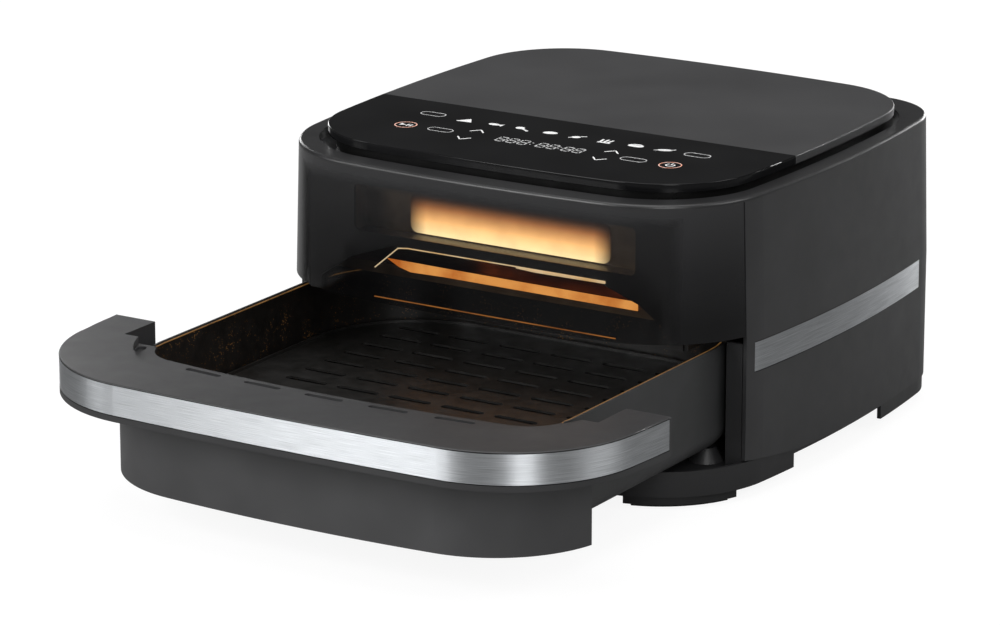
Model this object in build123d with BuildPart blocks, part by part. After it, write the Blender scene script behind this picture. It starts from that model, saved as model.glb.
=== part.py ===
from build123d import *
from math import hypot, sqrt
import os

os.makedirs("parts", exist_ok=True)

# Countertop pizza oven with a pull-out drawer, shown with the drawer partly open.
# Millimetres. X is across, -Y is the front, +Z is up, and the feet stand on z = 0.

# Body casing
body_half_width = 192.5
body_depth = 380
front_radius = 1250
rear_radius = 2000
side_radius = 1120
front_corner = 88
rear_corner = 55
shell_wall = 2.5
shell_top = 213
draft_in = 3
end_draft = 0.25
split_z = 113
seam_gap = 1.2

# Drawer position and grip
drawer_open = 207
grip_proud = 35
panel_proud = 8
body_centre_y = (drawer_open + grip_proud) / 2
body_front = body_centre_y - body_depth / 2
body_rear = body_centre_y + body_depth / 2
seam_y = body_front + 66

# Base and feet
foot_pad = 2
rear_pad = 6
base_bottom = 9
base_notch = 19
base_floor = 20
base_floor_thickness = 3
base_lip = 27.5
base_wall = 3
base_inset = 1
skirt_front = 29
skirt_middle = 22
skirt_rear = 20
notch_front = body_front + 126
notch_rear = body_rear - 123
pedestal_inset = 6
pedestal_width = 24
pedestal_half_gap = 118

rear_pad_x = 150
rear_pad_y = body_rear - 52
rear_pad_radius = 11

# Rear wall
vent_z = 165
vent_pitch = 9
vent_count = 15
vent_height = 46
vent_width = 4
gland_x = -128
gland_z = 48
gland_radius = 9
gland_length = 14
rear_wall_reach = 16

# Steel bands
band_bottom = 91
band_height = 22
band_depth = 1
band_fit = 0.1
band_start = seam_y + 8
band_end = body_rear - 58

# Window glass
glass_bottom = 118.5
glass_wall = 3

# Top cover and lid
cover_height = 3
cover_floor = 206.5
cover_floor_thickness = 2.5
cover_edge = 2.4
cover_fit = 0.3
lid_half_width = 172
lid_front = body_front + 26
lid_rear = body_rear - 15
lid_radius = 1500
lid_corner = 72
lid_bottom = 219
lid_thickness = 6
lid_edge = 1
lid_skirt = 2.5
lid_sheet = 2
panel_split_y = lid_front + 128.5
panel_split_gap = 0.3
recess_front_gap = 8
recess_side_gap = 4
carrier_inset = 6
carrier_wall = 4

lamp_depth = 13
lamp_radius = 4
lamp_length = 150
lamp_z = 172
blade_thickness = 1.5
blade_angle = 24
heater_open = 30
heater_lead_rise = 14
bracket_sheet = 1.5
power_board_z = 137
board_stand = 5

# Control board
board_y = lid_front + 62
board_length = 240
board_width = 70
board_lift = 2
board_thickness = 1.6
board_display_length = 110
board_display_width = 24
board_part_height = 4

# Cooking chamber
chamber_half_width = 156
chamber_front = seam_y - 32
chamber_rear = body_rear - 28
chamber_bottom = 112
chamber_top = 156
chamber_corner = 30
sheet = 1.2
flange_width = 13
front_wall_gap = 3
front_wall = 2
front_wall_bottom = 111.5
front_wall_top = 198
view_half_width = 115
view_bottom = 159
view_top = 193
arch_top = 151
arch_half_width = 84
arch_shoulder = 118
arch_shoulder_z = 139
arch_foot = 143
arch_foot_z = 122
lamp_lens_y = chamber_front + 22
lamp_lens_half_width = 82
lamp_lens_bottom = 157
lamp_lens_height = 29
lens_thickness = 2

# Fan and heater
fan_y = body_centre_y + 3
fan_radius = 62
fan_bottom = 136
fan_height = 13
hub_radius = 13
blade_count = 10
shaft_radius = 4
shaft_fit = 0.1
shaft_top = 201
motor_radius = 30
motor_bottom = 160
motor_height = 26
cooling_radius = 36
cooling_bottom = 192
cooling_height = 8
heater_radius = 92
heater_tube = 3.25
heater_z = 142
heater_lead_x = 24
guard_z = 126
guard_edge = 8
guard_front = chamber_front + 30
heater_lead_y = fan_y + (heater_radius**2 - heater_lead_x**2) ** 0.5

# Drawer
frame_half_width = 166
frame_wall = 1.2
frame_bottom = 36
frame_top = 110
frame_set_back = 33
frame_front = body_front - drawer_open + frame_set_back
frame_length = 314
frame_radius = 1250
frame_corner = 34
frame_rear_corner = 90
frame_round = 12
basin_gap = 0.3
basin_wall = 1.2
basin_top = 109
bezel_top = 109
bezel_thickness = 2
bezel_inset = 5.5
bezel_lip = 3.5

# Grip ring
grip_top = 113.8
grip_bottom = 87
grip_half_width = 225
grip_front = body_front - drawer_open - grip_proud
grip_radius = 3200
grip_corner = 97
grip_inner = 189.6
grip_end = body_front - 106
grip_edge = 1
bezel_end = seam_y - drawer_open - 0.8

band_end_margin = 1.8
grip_wall = 3.5
grip_floor = 103
bezel_slot_y = frame_front - 4
bezel_slot_length = 30
bezel_slot_width = 4.5
bezel_slot_angle = 2.3
bezel_slot_count = 5
corner_slot_length = 13
corner_slot_width = 6.5
corner_slot_x = 168.5
corner_slot_y = frame_front + 22

# Lower drawer panel
panel_bottom = 29.5
panel_wall = 3

# Rails and runners
runner_x = 120
runner_width = 10
runner_height = 5
runner_front = body_front - 140
runner_rear = body_front + 110
rail_gap = 0.3
rail_wall = 2.5
rail_lip = 4
rail_front = seam_y + 1
rail_rear = chamber_rear - 26

# Jambs beside the drawer's opening and guides on the base
jamb_gap = 1.5
jamb_depth = 3
guide_x = 150
guide_y = seam_y + 5
guide_radius = 12
guide_top_radius = 7
guide_height = 10

# Crisper plate
plate_z = 66
plate_thickness = 1.5
plate_gap = 2.5
slot_length = 34
slot_width = 6
slot_bridge = 9
slot_row = 24
slot_columns = 6
slot_rows = 11
plate_lip = 2
plate_leg_bottom = 46
plate_rest = 0.3
leg_x = 2 * frame_half_width - 82
leg_y = frame_length - 84

# Screws under the base
screw_spread_x = 2 * body_half_width - 145
screw_spread_y = body_depth - 130

far = 700
lid_radii = (lid_radius, lid_radius, lid_radius)
body_radii = (front_radius, rear_radius, side_radius)
body_corners = (front_corner, rear_corner)


def arcs_meet(end_centre, end_radius, side_centre, side_radius):
    """The right-hand point where an end arc, centred on x = 0, meets a side arc."""
    dx = side_centre[0]
    dy = side_centre[1] - end_centre
    gap = hypot(dx, dy)
    along = (gap**2 + end_radius**2 - side_radius**2) / (2 * gap)
    across = sqrt(end_radius**2 - along**2)
    points = [
        (along * dx / gap + turn * across * dy / gap, end_centre + along * dy / gap - turn * across * dx / gap)
        for turn in (-1, 1)
    ]
    return max(points)


def bowed_outline(half_width, front, rear, radii, corners, inset=0, mode=Mode.ADD):
    """Adds a rectangle with four bowed sides and round corners to the open sketch."""
    front_bow, rear_bow, side_bow = radii
    middle = (front + rear) / 2
    side_centre = (half_width - side_bow, middle)
    x1, y1 = arcs_meet(front + front_bow, front_bow - inset, side_centre, side_bow - inset)
    x2, y2 = arcs_meet(rear - rear_bow, rear_bow - inset, side_centre, side_bow - inset)
    with BuildLine() as edge:
        ThreePointArc((-x1, y1), (0, front + inset), (x1, y1))
        ThreePointArc((x1, y1), (half_width - inset, middle), (x2, y2))
        ThreePointArc((x2, y2), (0, rear - inset), (-x2, y2))
        ThreePointArc((-x2, y2), (inset - half_width, middle), (-x1, y1))
    with BuildSketch(mode=Mode.PRIVATE) as outline:
        make_face(edge.edges())
        fillet(outline.vertices().group_by(Axis.Y)[0], corners[0] - inset)
        fillet(outline.vertices().group_by(Axis.Y)[-1], corners[1] - inset)
    add(outline.sketch, mode=mode)


def body_outline(inset=0, narrow=0, mode=Mode.ADD):
    """The casing's outline: narrow is how far its sides have drawn in at this level."""
    bowed_outline(
        body_half_width - narrow,
        body_front + narrow * end_draft,
        body_rear - narrow * end_draft,
        body_radii,
        body_corners,
        inset,
        mode,
    )


def save(part, name):
    """Labels one finished piece and writes it."""
    part.label = name
    export_step(part, f"parts/{name}.step")
    print(name, round(part.volume / 1000, 1), "cm3,", len(part.solids()), "solids")


def upper_level(z):
    """How far the casing's sides have drawn in at a level above the bands."""
    return draft_in * (z - split_z) / (shell_top - split_z)


def casing_block(bottom, top, inset=0):
    """A solid of the casing's drafted upper form between two levels."""
    with BuildPart() as block:
        with BuildSketch(Plane.XY.offset(bottom)):
            body_outline(inset, upper_level(bottom))
        with BuildSketch(Plane.XY.offset(top)):
            body_outline(inset, upper_level(top))
        loft()
    return block.part


# What the shell takes up above the sloping bottom edge of its skirt
with BuildPart() as skirt_space:
    with BuildSketch(Plane.YZ):
        with BuildLine():
            Polyline(
                (seam_y, far),
                (seam_y, skirt_front),
                (notch_front, skirt_middle),
                (body_centre_y, skirt_rear),
                (body_rear + 1, skirt_rear),
                (body_rear + 1, far),
                close=True,
            )
        make_face()
    extrude(amount=far / 2, both=True)
    with BuildSketch():
        body_outline(shell_wall + cover_fit)
    extrude(amount=far, mode=Mode.SUBTRACT)

# Base tray with its front lip, side notches, corner pedestals and a rib inside the shell
with BuildPart() as base_tray:
    with BuildSketch(Plane.XY.offset(base_bottom)):
        body_outline(base_inset)
    extrude(amount=base_lip - base_bottom)
    with BuildSketch(Plane.XY.offset(base_bottom)):
        body_outline(base_inset + base_wall)
    extrude(amount=base_floor - base_bottom, mode=Mode.SUBTRACT)
    with BuildSketch(Plane.XY.offset(base_floor + base_floor_thickness)):
        body_outline(base_inset + base_wall)
    extrude(amount=base_lip, mode=Mode.SUBTRACT)
    add(skirt_space.part, mode=Mode.SUBTRACT)
    with BuildSketch(Plane.YZ):
        with Locations(((notch_front + notch_rear) / 2, (base_bottom + base_notch) / 2)):
            Rectangle(notch_rear - notch_front, base_notch - base_bottom)
    extrude(amount=far / 2, both=True, mode=Mode.SUBTRACT)
    with BuildSketch(Plane.XY.offset(foot_pad)):
        body_outline(pedestal_inset)
        body_outline(pedestal_inset + pedestal_width, mode=Mode.SUBTRACT)
        with Locations((0, seam_y + far / 2)):
            Rectangle(far, far, mode=Mode.SUBTRACT)
        Rectangle(2 * pedestal_half_gap, far, mode=Mode.SUBTRACT)
    extrude(amount=base_floor - foot_pad)
save(base_tray.part, "base_tray")

# Rubber feet: a pad under each front pedestal and a round one under each rear leg
with BuildPart() as rubber_feet:
    with BuildSketch():
        body_outline(pedestal_inset + 3)
        body_outline(pedestal_inset + pedestal_width - 3, mode=Mode.SUBTRACT)
        with Locations((0, seam_y - 4 + far / 2)):
            Rectangle(far, far, mode=Mode.SUBTRACT)
        Rectangle(2 * (pedestal_half_gap + 4), far, mode=Mode.SUBTRACT)
    extrude(amount=foot_pad)
    with BuildSketch(Plane.XY) as rear_pads:
        with Locations((-rear_pad_x, rear_pad_y), (rear_pad_x, rear_pad_y)):
            Circle(rear_pad_radius)
    extrude(amount=base_floor, mode=Mode.ADD)
save(rubber_feet.part, "rubber_feet")

# Wrap-round outer shell: sides and back in one moulding, open at the front
with BuildPart() as outer_shell:
    with BuildSketch(Plane.XY.offset(skirt_rear)):
        body_outline()
    extrude(amount=split_z - skirt_rear)
    add(casing_block(split_z, shell_top))
    with BuildSketch(Plane.XY.offset(skirt_rear)):
        body_outline(shell_wall)
    extrude(amount=split_z - skirt_rear, mode=Mode.SUBTRACT)
    add(casing_block(split_z, shell_top, shell_wall), mode=Mode.SUBTRACT)
    with BuildSketch(Plane.YZ):
        with BuildLine():
            Polyline(
                (-far, 0),
                (-far, shell_top + 1),
                (seam_y, shell_top + 1),
                (seam_y, skirt_front),
                (notch_front, skirt_middle),
                (body_centre_y, skirt_rear),
                (body_rear + 1, skirt_rear),
                (body_rear + 1, 0),
                close=True,
            )
        make_face()
    extrude(amount=far / 2, both=True, mode=Mode.SUBTRACT)
    with BuildSketch(Plane.XY.offset(band_bottom)):
        body_outline()
        body_outline(band_depth, mode=Mode.SUBTRACT)
        with Locations((0, band_start - far / 2), (0, band_end + far / 2)):
            Rectangle(far, far, mode=Mode.SUBTRACT)
    extrude(amount=band_height, mode=Mode.SUBTRACT)
    with BuildSketch(Plane.XZ.offset(-body_rear)):
        with Locations((0, vent_z)):
            with GridLocations(vent_pitch, 0, vent_count, 1):
                SlotOverall(vent_height, vent_width, rotation=90)
    extrude(amount=rear_wall_reach, both=True, mode=Mode.SUBTRACT)
    with BuildSketch(Plane.XZ.offset(-body_rear)):
        with Locations((gland_x, gland_z)):
            Circle(gland_radius + cover_fit)
    extrude(amount=rear_wall_reach, both=True, mode=Mode.SUBTRACT)
save(outer_shell.part, "outer_shell")

# Brushed steel bands let into the sides
for side, name in ((-1, "side_band_left"), (1, "side_band_right")):
    with BuildPart() as band:
        with BuildSketch(Plane.XY.offset(band_bottom + band_fit)):
            body_outline(band_fit)
            body_outline(band_depth - band_fit, mode=Mode.SUBTRACT)
            with Locations((0, band_start + band_fit - far / 2), (0, band_end - band_fit + far / 2)):
                Rectangle(far, far, mode=Mode.SUBTRACT)
            with Locations((-side * far / 2, body_centre_y)):
                Rectangle(far, far, mode=Mode.SUBTRACT)
        extrude(amount=band_height - 2 * band_fit)
    save(band.part, name)

# Tinted window that wraps round both front corners
with BuildPart() as window_glass:
    add(casing_block(glass_bottom, shell_top))
    add(casing_block(glass_bottom, shell_top, glass_wall), mode=Mode.SUBTRACT)
    with BuildSketch(Plane.XY.offset(glass_bottom - 1)):
        with Locations((0, seam_y - seam_gap + far / 2)):
            Rectangle(far, far)
    extrude(amount=far, mode=Mode.SUBTRACT)
save(window_glass.part, "window_glass")



def lid_outline(inset=0, mode=Mode.ADD):
    """The raised lid's outline."""
    bowed_outline(lid_half_width, lid_front, lid_rear, lid_radii, (lid_corner, lid_corner), inset, mode)


# Top cover: a rim with a shallow recess for the lid
with BuildPart() as top_cover:
    with BuildSketch(Plane.XY.offset(shell_top)):
        body_outline(0, draft_in)
    extrude(amount=cover_height)
    fillet(top_cover.faces().sort_by(Axis.Z)[-1].edges(), cover_edge)
    with BuildSketch(Plane.XY.offset(cover_floor)):
        body_outline(glass_wall + cover_fit, draft_in)
    extrude(amount=shell_top - cover_floor)
    with BuildSketch(Plane.XY.offset(cover_floor + cover_floor_thickness)):
        bowed_outline(
            lid_half_width + recess_side_gap,
            lid_front - recess_front_gap,
            lid_rear + recess_side_gap,
            lid_radii,
            (lid_corner + recess_side_gap, lid_corner + recess_side_gap),
        )
    extrude(amount=far, mode=Mode.SUBTRACT)
    with BuildSketch(Plane.XY.offset(cover_floor + cover_floor_thickness)):
        with Locations((0, board_y)):
            with GridLocations(board_length - 16, board_width - 10, 2, 2):
                Circle(3)
    extrude(amount=board_lift)
save(top_cover.part, "top_cover")

# Plinth that carries the lid clear of the recess
with BuildPart() as lid_carrier:
    with BuildSketch(Plane.XY.offset(cover_floor + cover_floor_thickness)):
        lid_outline(carrier_inset)
        lid_outline(carrier_inset + carrier_wall, mode=Mode.SUBTRACT)
    extrude(amount=lid_bottom + lid_thickness - lid_sheet - cover_floor - cover_floor_thickness)
save(lid_carrier.part, "lid_carrier")

# Lid in two flush pieces: the touch glass in front and the metal panel behind
for name, keep_front in (("control_glass", True), ("top_panel", False)):
    with BuildPart() as lid_piece:
        with BuildSketch(Plane.XY.offset(lid_bottom)):
            lid_outline()
        extrude(amount=lid_thickness)
        fillet(lid_piece.faces().sort_by(Axis.Z)[-1].edges(), lid_edge)
        with BuildSketch(Plane.XY.offset(lid_bottom)):
            if keep_front:
                with Locations((0, panel_split_y + far / 2)):
                    Rectangle(far, far)
            else:
                with Locations((0, panel_split_y + panel_split_gap - far / 2)):
                    Rectangle(far, far)
        extrude(amount=lid_thickness, mode=Mode.SUBTRACT)
        with BuildSketch(Plane.XY.offset(lid_bottom)):
            lid_outline(lid_skirt)
        extrude(amount=lid_thickness - lid_sheet, mode=Mode.SUBTRACT)
    save(lid_piece.part, name)

# Touch control board under the glass
with BuildPart() as control_board:
    with BuildSketch(Plane.XY.offset(cover_floor + cover_floor_thickness + board_lift)):
        with Locations((0, board_y)):
            RectangleRounded(board_length, board_width, 3)
    extrude(amount=board_thickness)
    with BuildSketch(Plane.XY.offset(cover_floor + cover_floor_thickness + board_lift + board_thickness)):
        with Locations((0, board_y)):
            Rectangle(board_display_length, board_display_width)
        with Locations((-board_length / 3, board_y), (board_length / 3, board_y)):
            Rectangle(16, 16)
    extrude(amount=board_part_height)
save(control_board.part, "control_board")

# Inner front wall of the cooking chamber with its lamp window and arched mouth
with BuildPart() as chamber_front_wall:
    with BuildSketch(Plane.XZ.offset(-chamber_front)):
        with Locations((0, (front_wall_bottom + front_wall_top) / 2)):
            Rectangle(2 * (chamber_half_width - front_wall_gap), front_wall_top - front_wall_bottom)
        with Locations((0, (view_bottom + view_top) / 2)):
            RectangleRounded(2 * view_half_width, view_top - view_bottom, 4, mode=Mode.SUBTRACT)
        with BuildLine():
            Polyline(
                (-arch_foot, front_wall_bottom - 1),
                (-arch_foot, arch_foot_z),
                (-arch_shoulder, arch_shoulder_z),
                (-arch_half_width, arch_top),
                (arch_half_width, arch_top),
                (arch_shoulder, arch_shoulder_z),
                (arch_foot, arch_foot_z),
                (arch_foot, front_wall_bottom - 1),
                close=True,
            )
        make_face(mode=Mode.SUBTRACT)
    extrude(amount=front_wall)
save(chamber_front_wall.part, "chamber_front_wall")

# Cooking chamber liner: folded sheet, open below and in front
with BuildPart() as chamber_liner:
    with BuildSketch(Plane.XY.offset(chamber_bottom)):
        with Locations((0, (chamber_front + chamber_rear) / 2)):
            Rectangle(2 * chamber_half_width, chamber_rear - chamber_front)
        fillet(vertices().group_by(Axis.Y)[-1], chamber_corner)
    extrude(amount=chamber_top - chamber_bottom)
    with BuildSketch(Plane.XY.offset(chamber_bottom)):
        with Locations((0, (chamber_front + chamber_rear) / 2 - sheet)):
            Rectangle(2 * (chamber_half_width - sheet), chamber_rear - chamber_front)
        fillet(vertices().group_by(Axis.Y)[-1], chamber_corner - sheet)
    extrude(amount=chamber_top - sheet - chamber_bottom, mode=Mode.SUBTRACT)
    with BuildSketch(Plane.XY.offset(chamber_bottom)):
        for side in (-1, 1):
            with Locations((side * (chamber_half_width + flange_width / 2), (chamber_front + chamber_rear) / 2)):
                Rectangle(flange_width, chamber_rear - chamber_front - 2 * chamber_corner)
    extrude(amount=sheet)
    with Locations((0, fan_y, chamber_top)):
        Hole(shaft_radius + 2)
    with Locations(*[(x, heater_lead_y, chamber_top) for x in (-heater_lead_x, heater_lead_x)]):
        Hole(heater_tube + 0.3)
save(chamber_liner.part, "chamber_liner")

# Lamp behind the upper opening: a frosted lens in a folded housing
with BuildPart() as lamp_lens:
    with BuildSketch(Plane.XZ.offset(-lamp_lens_y)):
        with Locations((0, lamp_lens_bottom + lamp_lens_height / 2)):
            RectangleRounded(2 * lamp_lens_half_width, lamp_lens_height, 6)
    extrude(amount=lens_thickness)
save(lamp_lens.part, "lamp_lens")

with BuildPart() as lamp_housing:
    with BuildSketch(Plane.YZ):
        with BuildLine():
            Polyline(
                (chamber_front, front_wall_top),
                (lamp_lens_y + lamp_depth, front_wall_top),
                (lamp_lens_y + lamp_depth, chamber_top),
                (lamp_lens_y + lamp_depth - sheet, chamber_top),
                (lamp_lens_y + lamp_depth - sheet, front_wall_top - sheet),
                (chamber_front, front_wall_top - sheet),
                close=True,
            )
        make_face()
    extrude(amount=view_half_width + 6, both=True)
    for side in (-1, 1):
        with BuildSketch(Plane.YZ.offset(side * (view_half_width + 6))):
            with Locations(
                ((chamber_front + lamp_lens_y + lamp_depth) / 2, (chamber_top + front_wall_top) / 2)
            ):
                Rectangle(lamp_lens_y + lamp_depth - chamber_front, front_wall_top - chamber_top)
        extrude(amount=-side * sheet)
    with BuildSketch(Plane.XZ.offset(-lamp_lens_y)):
        with Locations((0, (chamber_top + front_wall_top) / 2)):
            Rectangle(2 * (view_half_width + 6), front_wall_top - chamber_top)
        with Locations((0, lamp_lens_bottom + lamp_lens_height / 2)):
            RectangleRounded(2 * lamp_lens_half_width, lamp_lens_height, 6, mode=Mode.SUBTRACT)
    extrude(amount=sheet)
save(lamp_housing.part, "lamp_housing")

with BuildPart() as lamp_bulb:
    with BuildSketch(Plane.YZ.offset(-lamp_length / 2)):
        with Locations((lamp_lens_y + lamp_depth - sheet - lamp_radius - 1, lamp_z)):
            Circle(lamp_radius)
    extrude(amount=lamp_length)
    with BuildSketch(Plane.YZ.offset(-view_half_width - 6 + sheet)):
        with Locations((lamp_lens_y + lamp_depth - sheet - lamp_radius - 1, lamp_z)):
            Circle(lamp_radius - 1.5)
    extrude(amount=2 * (view_half_width + 6 - sheet))
save(lamp_bulb.part, "lamp_bulb")

# Slotted guard under the fan, with a folded front edge
with BuildPart() as fan_guard:
    with BuildSketch(Plane.XY.offset(guard_z)):
        with Locations((0, (guard_front + chamber_rear - sheet) / 2)):
            Rectangle(2 * (chamber_half_width - sheet), chamber_rear - sheet - guard_front)
        fillet(vertices().group_by(Axis.Y)[-1], chamber_corner - sheet)
    extrude(amount=sheet)
    with BuildSketch(Plane.XY.offset(guard_z)):
        with Locations((0, fan_y)):
            for ring_radius, count in ((24, 6), (44, 10), (66, 16)):
                with PolarLocations(ring_radius, count):
                    SlotOverall(14, 5)
    extrude(amount=sheet, mode=Mode.SUBTRACT)
    with BuildSketch(Plane.XZ.offset(-guard_front)):
        with Locations((0, guard_z + sheet - guard_edge / 2)):
            Rectangle(2 * (chamber_half_width - sheet), guard_edge)
    extrude(amount=-sheet)
save(fan_guard.part, "fan_guard")

# Tubular heater: an open ring round the fan with two leads up through the liner
with BuildPart() as heating_element:
    with BuildLine() as heater_path:
        CenterArc((0, fan_y, heater_z), heater_radius, 90 + heater_open / 2, 360 - heater_open)
    with BuildSketch(heater_path.line ^ 0):
        Circle(heater_tube)
    sweep()
    with BuildSketch(Plane.XY.offset(heater_z)):
        with Locations((-heater_lead_x, heater_lead_y), (heater_lead_x, heater_lead_y)):
            Circle(heater_tube)
    extrude(amount=chamber_top + heater_lead_rise - heater_z)
save(heating_element.part, "heating_element")

# Hot-air fan on a shaft that runs up through the motor to a small cooling fan
with BuildPart() as hot_air_fan:
    with BuildSketch(Plane.XY.offset(fan_bottom + fan_height - sheet)):
        with Locations((0, fan_y)):
            Circle(fan_radius)
    extrude(amount=sheet)
    with BuildSketch(Plane.XY.offset(fan_bottom)):
        with Locations((0, fan_y)):
            Circle(hub_radius)
            with PolarLocations((fan_radius + hub_radius) / 2, blade_count):
                Rectangle(fan_radius - hub_radius, blade_thickness, rotation=blade_angle)
    extrude(amount=fan_height)
    with BuildSketch(Plane.XY.offset(fan_bottom)):
        with Locations((0, fan_y)):
            Circle(shaft_radius)
    extrude(amount=fan_height, mode=Mode.SUBTRACT)
save(hot_air_fan.part, "hot_air_fan")

with BuildPart() as fan_shaft:
    with BuildSketch(Plane.XY.offset(fan_bottom)):
        with Locations((0, fan_y)):
            Circle(shaft_radius)
    extrude(amount=shaft_top - fan_bottom)
save(fan_shaft.part, "fan_shaft")

with BuildPart() as cooling_fan:
    with BuildSketch(Plane.XY.offset(cooling_bottom)):
        with Locations((0, fan_y)):
            Circle(hub_radius - 2)
            with PolarLocations((cooling_radius + hub_radius - 6) / 2, blade_count - 2):
                Rectangle(cooling_radius - hub_radius + 6, blade_thickness, rotation=-blade_angle)
            Circle(shaft_radius, mode=Mode.SUBTRACT)
    extrude(amount=cooling_height)
save(cooling_fan.part, "cooling_fan")

with BuildPart() as fan_motor:
    with BuildSketch(Plane.XY.offset(motor_bottom)):
        with Locations((0, fan_y)):
            Circle(motor_radius)
    extrude(amount=motor_height)
    fillet(fan_motor.faces().sort_by(Axis.Z)[-1].edges(), 3)
    with Locations((0, fan_y, motor_bottom + motor_height)):
        Hole(shaft_radius + shaft_fit)
save(fan_motor.part, "fan_motor")

# Motor bracket: a plate under the motor on four legs from the liner
with BuildPart() as motor_bracket:
    with BuildSketch(Plane.XY.offset(motor_bottom - bracket_sheet)):
        with Locations((0, fan_y)):
            RectangleRounded(2 * motor_radius + 24, 2 * motor_radius + 4, 6)
            Circle(shaft_radius + 2, mode=Mode.SUBTRACT)
    extrude(amount=bracket_sheet)
    with BuildSketch(Plane.XY.offset(chamber_top)):
        with Locations((0, fan_y)):
            with GridLocations(2 * motor_radius + 10, 2 * motor_radius - 10, 2, 2):
                Circle(4)
    extrude(amount=motor_bottom - bracket_sheet - chamber_top)
save(motor_bracket.part, "motor_bracket")

# Power board on the right of the liner
with BuildPart() as power_board:
    with BuildSketch(Plane.YZ.offset(chamber_half_width + board_stand)):
        with Locations((fan_y + 40, power_board_z)):
            Rectangle(110, 46)
    extrude(amount=board_thickness)
    with BuildSketch(Plane.YZ.offset(chamber_half_width)):
        with Locations((fan_y + 40, power_board_z)):
            with GridLocations(96, 20, 2, 2):
                Circle(2.5)
    extrude(amount=board_stand)
    with BuildSketch(Plane.YZ.offset(chamber_half_width + board_stand + board_thickness)):
        with Locations((fan_y + 20, power_board_z + 6), (fan_y + 62, power_board_z - 4)):
            Rectangle(24, 20)
    extrude(amount=9)
save(power_board.part, "power_board")

# Cord gland in the back wall
with BuildPart() as cord_gland:
    with BuildSketch(Plane.XZ.offset(-(body_rear - 4))):
        with Locations((gland_x, gland_z)):
            Circle(gland_radius)
    extrude(amount=gland_length, both=False)
    with BuildSketch(Plane.XZ.offset(-(body_rear - 1))):
        with Locations((gland_x, gland_z)):
            Circle(gland_radius - 2)
    extrude(amount=3)
save(cord_gland.part, "cord_gland")


def frame_outline(inset=0, mode=Mode.ADD):
    """Adds the drawer frame's outline, bowed in front and square behind."""
    x = frame_half_width - inset
    back = frame_front + frame_length - inset
    bow = frame_radius - inset
    corner = frame_front + frame_radius - sqrt(bow**2 - x**2)
    with BuildLine() as edge:
        ThreePointArc((-x, corner), (0, frame_front + inset), (x, corner))
        Polyline((x, corner), (x, back), (-x, back), (-x, corner))
    with BuildSketch(mode=Mode.PRIVATE) as outline:
        make_face(edge.edges())
        fillet(outline.vertices().group_by(Axis.Y)[0], frame_corner - inset)
        fillet(outline.vertices().group_by(Axis.Y)[-1], frame_rear_corner - inset)
    add(outline.sketch, mode=mode)


def tub(inset, bottom, top, rounding):
    """A solid of the drawer's plan form with a rounded bottom edge."""
    with BuildPart() as block:
        with BuildSketch(Plane.XY.offset(bottom)):
            frame_outline(inset)
        extrude(amount=top - bottom)
        fillet(block.faces().sort_by(Axis.Z)[0].edges(), rounding)
    return block.part


def lower_front(level):
    """Cuts the open part down to a level in front, where the bezel covers its rim."""
    with BuildSketch(Plane.XY.offset(level), mode=Mode.PRIVATE) as front_area:
        with Locations((0, bezel_end - far / 2)):
            Rectangle(far, far)
    extrude(front_area.sketch, amount=far, mode=Mode.SUBTRACT)


# Drawer frame: the grey outer box of the drawer
with BuildPart() as drawer_frame:
    add(tub(0, frame_bottom, frame_top, frame_round))
    add(tub(frame_wall, frame_bottom + frame_wall, frame_top + 1, frame_round - frame_wall), mode=Mode.SUBTRACT)
    lower_front(bezel_top - bezel_thickness)
save(drawer_frame.part, "drawer_frame")

# Non-stick basin that lines the frame
basin_inset = frame_wall + basin_gap
basin_bottom = frame_bottom + frame_wall + basin_gap
with BuildPart() as basin:
    add(tub(basin_inset, basin_bottom, basin_top, frame_round - basin_inset))
    add(
        tub(
            basin_inset + basin_wall,
            basin_bottom + basin_wall,
            basin_top + 1,
            frame_round - basin_inset - basin_wall,
        ),
        mode=Mode.SUBTRACT,
    )
    lower_front(bezel_top - bezel_thickness - basin_gap)
save(basin.part, "basin")


def grip_outline(inset=0, mode=Mode.ADD):
    """Adds the grip ring's outer outline, continued behind its ends."""
    bowed_outline(
        grip_half_width,
        grip_front,
        grip_front + body_depth,
        (grip_radius, grip_radius, side_radius),
        (grip_corner, grip_corner),
        inset,
        mode,
    )


def behind(y):
    """Cuts away everything behind a line across the open sketch."""
    with Locations((0, y + far / 2)):
        Rectangle(far, far, mode=Mode.SUBTRACT)


def panel_outline(inset=0, forward=0, mode=Mode.ADD):
    """Adds the casing's outline, moved forward to where it lies on the open drawer."""
    bowed_outline(
        body_half_width,
        body_front - drawer_open - forward,
        body_rear - drawer_open - forward,
        body_radii,
        body_corners,
        inset,
        mode,
    )


def bezel_slots():
    """Cuts the bezel's slots, which follow the bowed front, into the open sketch."""
    with Locations((0, bezel_slot_y + frame_radius)):
        with PolarLocations(
            frame_radius,
            bezel_slot_count,
            start_angle=270 - bezel_slot_angle * (bezel_slot_count - 1) / 2,
            angular_range=bezel_slot_angle * (bezel_slot_count - 1),
            endpoint=True,
        ):
            SlotOverall(bezel_slot_length, bezel_slot_width, rotation=90, mode=Mode.SUBTRACT)
    for side in (-1, 1):
        with Locations((side * corner_slot_x, corner_slot_y)):
            SlotOverall(corner_slot_length, corner_slot_width, rotation=side * 72, mode=Mode.SUBTRACT)


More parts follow.
